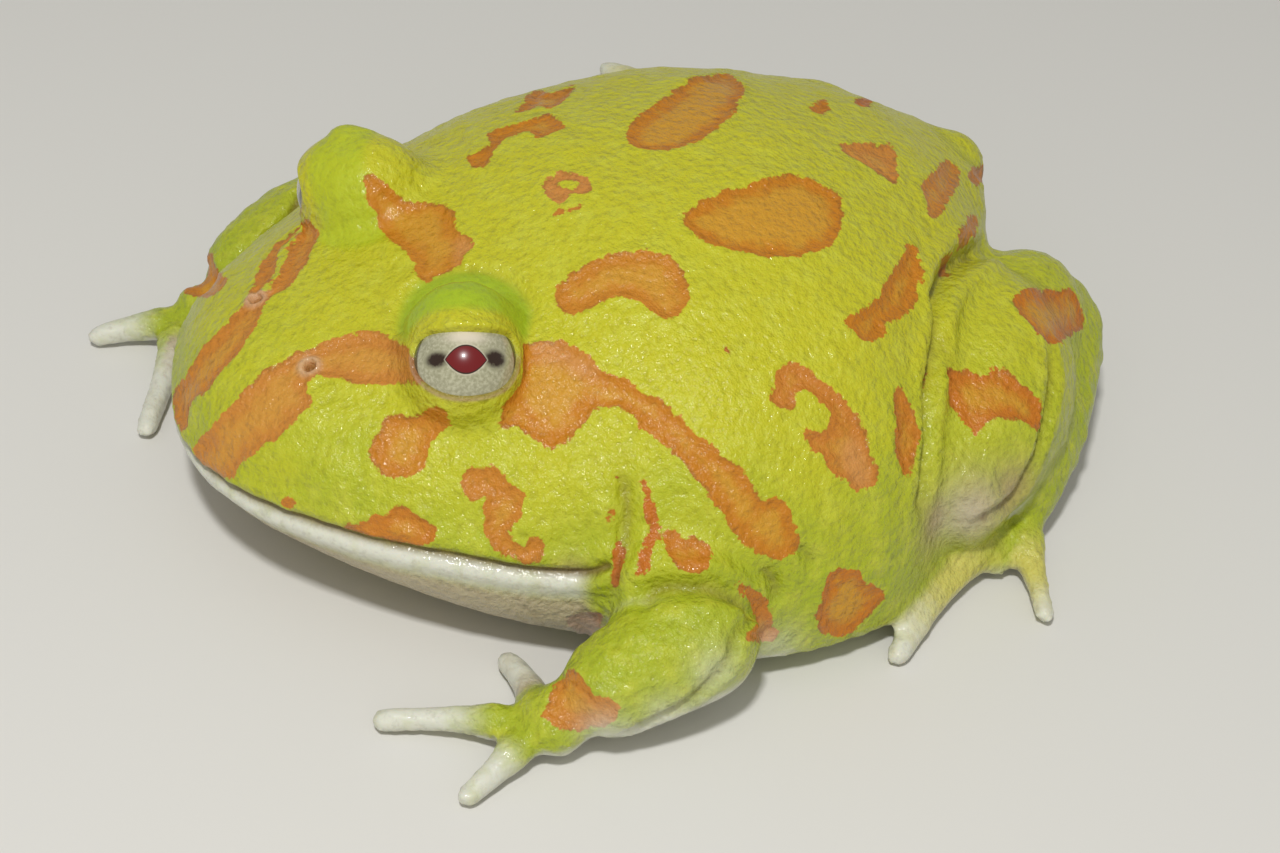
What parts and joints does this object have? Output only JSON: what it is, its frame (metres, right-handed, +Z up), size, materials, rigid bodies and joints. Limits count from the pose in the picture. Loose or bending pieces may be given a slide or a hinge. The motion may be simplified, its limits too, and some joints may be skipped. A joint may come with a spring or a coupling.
{
  "type": "argentine horned frog",
  "caption": "Life-size still model of a sitting horned frog, wide and low, with a broad closed mouth, domed eyes, spread fingers and folded hind legs.",
  "frame": {"origin": "on the floor under the middle of the belly, in the flat that the frog rests on", "axes": "the frog faces -Y, its left side is +X, up is +Z"},
  "size_m": [0.1275, 0.1133, 0.0415],
  "materials": {
    "skin": "moist granular yellow-green skin with orange patches, satin",
    "eye": "wet glossy eyeball with a silvery iris and a dark red pupil"
  },
  "bodies": {
    "root": {"head": "skin", "lower_jaw": "skin", "eye_left": "eye", "eye_right": "eye", "trunk": "skin", "upper_arm_left": "skin", "forearm_left": "skin", "hand_left": "skin", "finger_1_left": "skin", "finger_2_left": "skin", "finger_3_left": "skin", "finger_4_left": "skin", "thigh_left": "skin", "shank_left": "skin", "foot_left": "skin", "toe_1_left": "skin", "toe_2_left": "skin", "toe_3_left": "skin", "toe_4_left": "skin", "toe_5_left": "skin", "upper_arm_right": "skin", "forearm_right": "skin", "hand_right": "skin", "finger_1_right": "skin", "finger_2_right": "skin", "finger_3_right": "skin", "finger_4_right": "skin", "thigh_right": "skin", "shank_right": "skin", "foot_right": "skin", "toe_1_right": "skin", "toe_2_right": "skin", "toe_3_right": "skin", "toe_4_right": "skin", "toe_5_right": "skin"}
  },
  "joints": []
}
